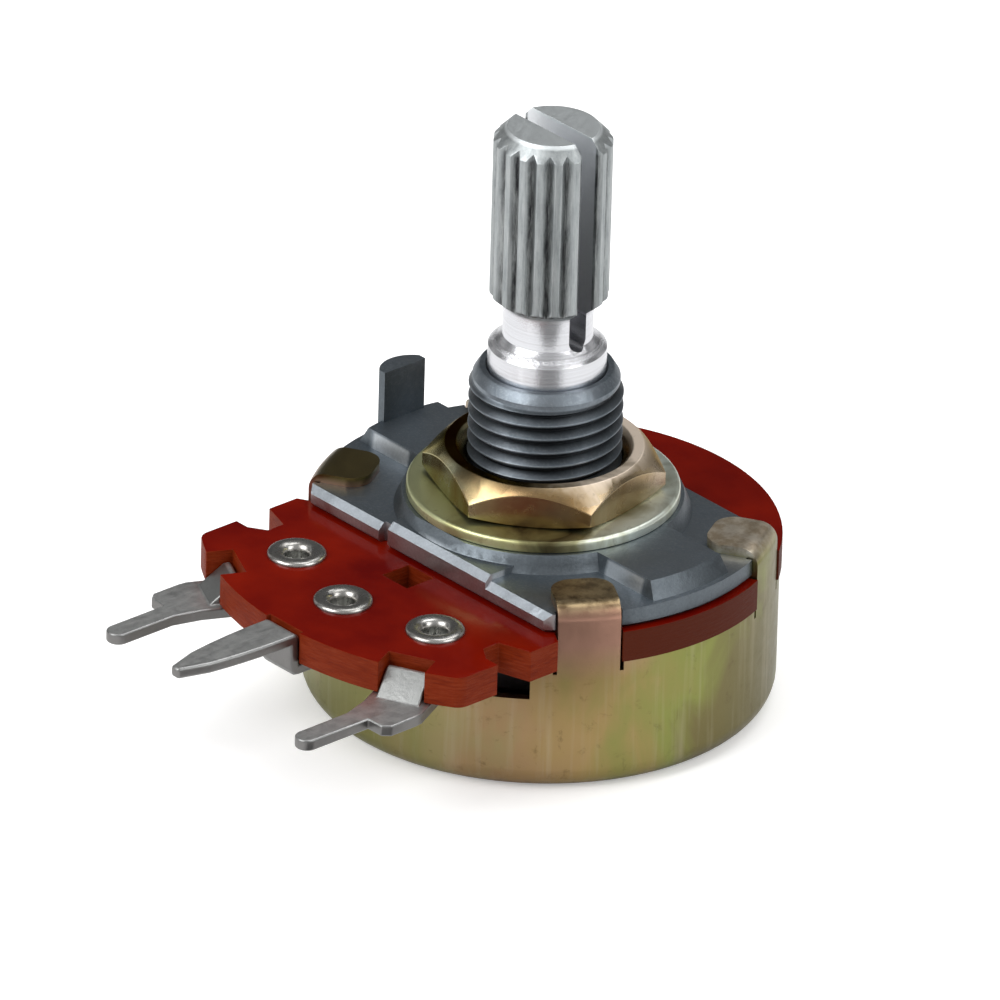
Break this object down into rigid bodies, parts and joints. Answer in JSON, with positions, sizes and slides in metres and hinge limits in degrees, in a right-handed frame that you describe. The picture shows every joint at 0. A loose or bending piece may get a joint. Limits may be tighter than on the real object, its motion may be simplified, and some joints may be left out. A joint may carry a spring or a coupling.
{
  "type": "rotary potentiometer",
  "caption": "Panel potentiometer: round steel cup with folded lugs, red board with solder pins, die-cast threaded bush with nut and washer, and a knurled slotted shaft.",
  "frame": {"origin": "on the shaft's axis at the mounting face of the plate", "axes": "+Z out along the shaft, terminals towards -Y, locating tab towards -X"},
  "size_m": [0.0242, 0.0364, 0.0312],
  "materials": {
    "turned_shaft": "turned, matt on the knurl and bright on the neck",
    "zinc_casting": "die-cast zinc, satin blue grey",
    "chromate_washer": "yellow chromate over zinc plate, satin",
    "chromate_nut": "yellow chromate over zinc plate, bright",
    "chromate_cover": "yellow chromate over zinc plate, iridescent",
    "spring_steel": "oiled spring steel",
    "bronze_sheet": "phosphor bronze sheet",
    "phenolic_board": "red paper phenolic, glossy face",
    "tinned_terminal": "tin plate, dull",
    "plated_rivet": "bright tin plate",
    "plated_sheet": "silver-plated brass sheet",
    "carbon_print": "screened carbon film",
    "silver_print": "screened silver film",
    "moulded_rotor": "black moulded plastic"
  },
  "bodies": {
    "housing": {"mounting_plate": "zinc_casting", "terminal_board": "phenolic_board", "terminal_left": "tinned_terminal", "terminal_middle": "tinned_terminal", "terminal_right": "tinned_terminal", "rivet_left": "plated_rivet", "rivet_middle": "plated_rivet", "rivet_right": "plated_rivet", "resistive_track": "carbon_print", "track_pad_left": "silver_print", "track_pad_right": "silver_print", "collector_ring": "plated_sheet", "friction_washer": "bronze_sheet", "rear_cover": "chromate_cover"},
    "spindle": {"shaft": "turned_shaft", "retaining_ring": "spring_steel", "rotor": "moulded_rotor", "wiper": "bronze_sheet"},
    "washer": {"flat_washer": "chromate_washer"},
    "nut": {"hex_nut": "chromate_nut"}
  },
  "joints": [
    {"name": "shaft_turn", "type": "hinge", "parent": "housing", "child": "spindle", "pos_m": [0, 0, 0], "axis": [0, 0, 1], "range_deg": [-150, 150]},
    {"name": "washer_lift", "type": "slide", "parent": "housing", "child": "washer", "axis": [0, 0, 1], "range_m": [0, 0.00375]},
    {"name": "nut_turn", "type": "hinge", "parent": "washer", "child": "nut", "pos_m": [0, 0, 0], "axis": [0, 0, 1], "range_deg": [0, 1800]}
  ],
  "couplings": [
    {"joint": "nut_turn", "follows": "washer_lift", "rad_per_m": 8377.6}
  ]
}
